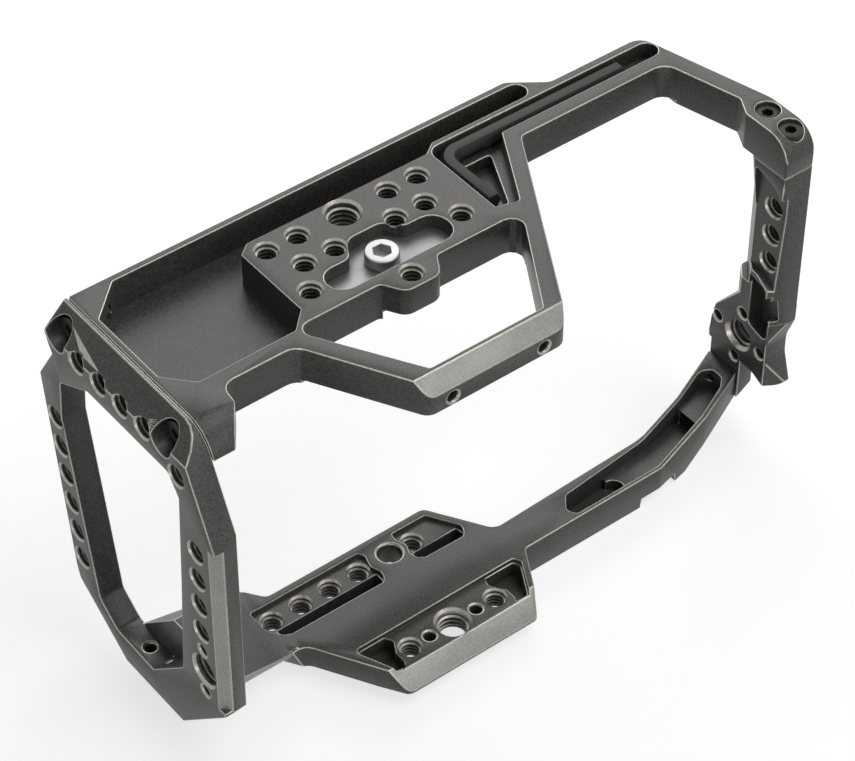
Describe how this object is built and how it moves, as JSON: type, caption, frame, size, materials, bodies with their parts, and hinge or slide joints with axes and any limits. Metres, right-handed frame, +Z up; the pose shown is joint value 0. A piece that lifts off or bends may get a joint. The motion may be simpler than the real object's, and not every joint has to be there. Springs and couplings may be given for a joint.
{
  "type": "camera cage",
  "caption": "Machined metal camera cage: perforated base plate, one-sided frame running into a top plate, open grip post, captive mounting screw and stowed hex key.",
  "frame": {"origin": "centre of the base plate's large threaded hole, on the plate's outer face", "axes": "the cage lies upside down, as in the picture: +Z up, out of the base plate's outer face (which faces the ground in use); +X towards the grip post; +Y towards the back of the camera; units are metres"},
  "size_m": [0.2079, 0.0896, 0.117],
  "materials": {
    "anodised": "dark grey anodised, fine blasted grain, bright worn edges",
    "bare_steel": "bare steel, turned and brushed",
    "black_steel": "black oxide",
    "magnet": "nickel plated",
    "pad_rubber": "matt black"
  },
  "bodies": {
    "cage": {"base_plate": "anodised", "side_frame": "anodised", "grip_post": "anodised", "slot_plate": "bare_steel", "key_magnets": "magnet", "side_screws": "black_steel", "post_screws": "black_steel", "arm_screw": "black_steel", "locating_pins": "bare_steel", "camera_pads": "pad_rubber"},
    "screw": {"mounting_screw": "bare_steel"},
    "key": {"hex_key": "black_steel"}
  },
  "joints": [
    {"name": "mounting_screw_turn", "type": "hinge", "parent": "cage", "child": "screw", "pos_m": [-0.0005, -0.018, 0], "axis": [0, 0, 1], "continuous": true},
    {"name": "hex_key_lift", "type": "slide", "parent": "cage", "child": "key", "axis": [0, 0, 1], "range_m": [0, 0.012]}
  ]
}
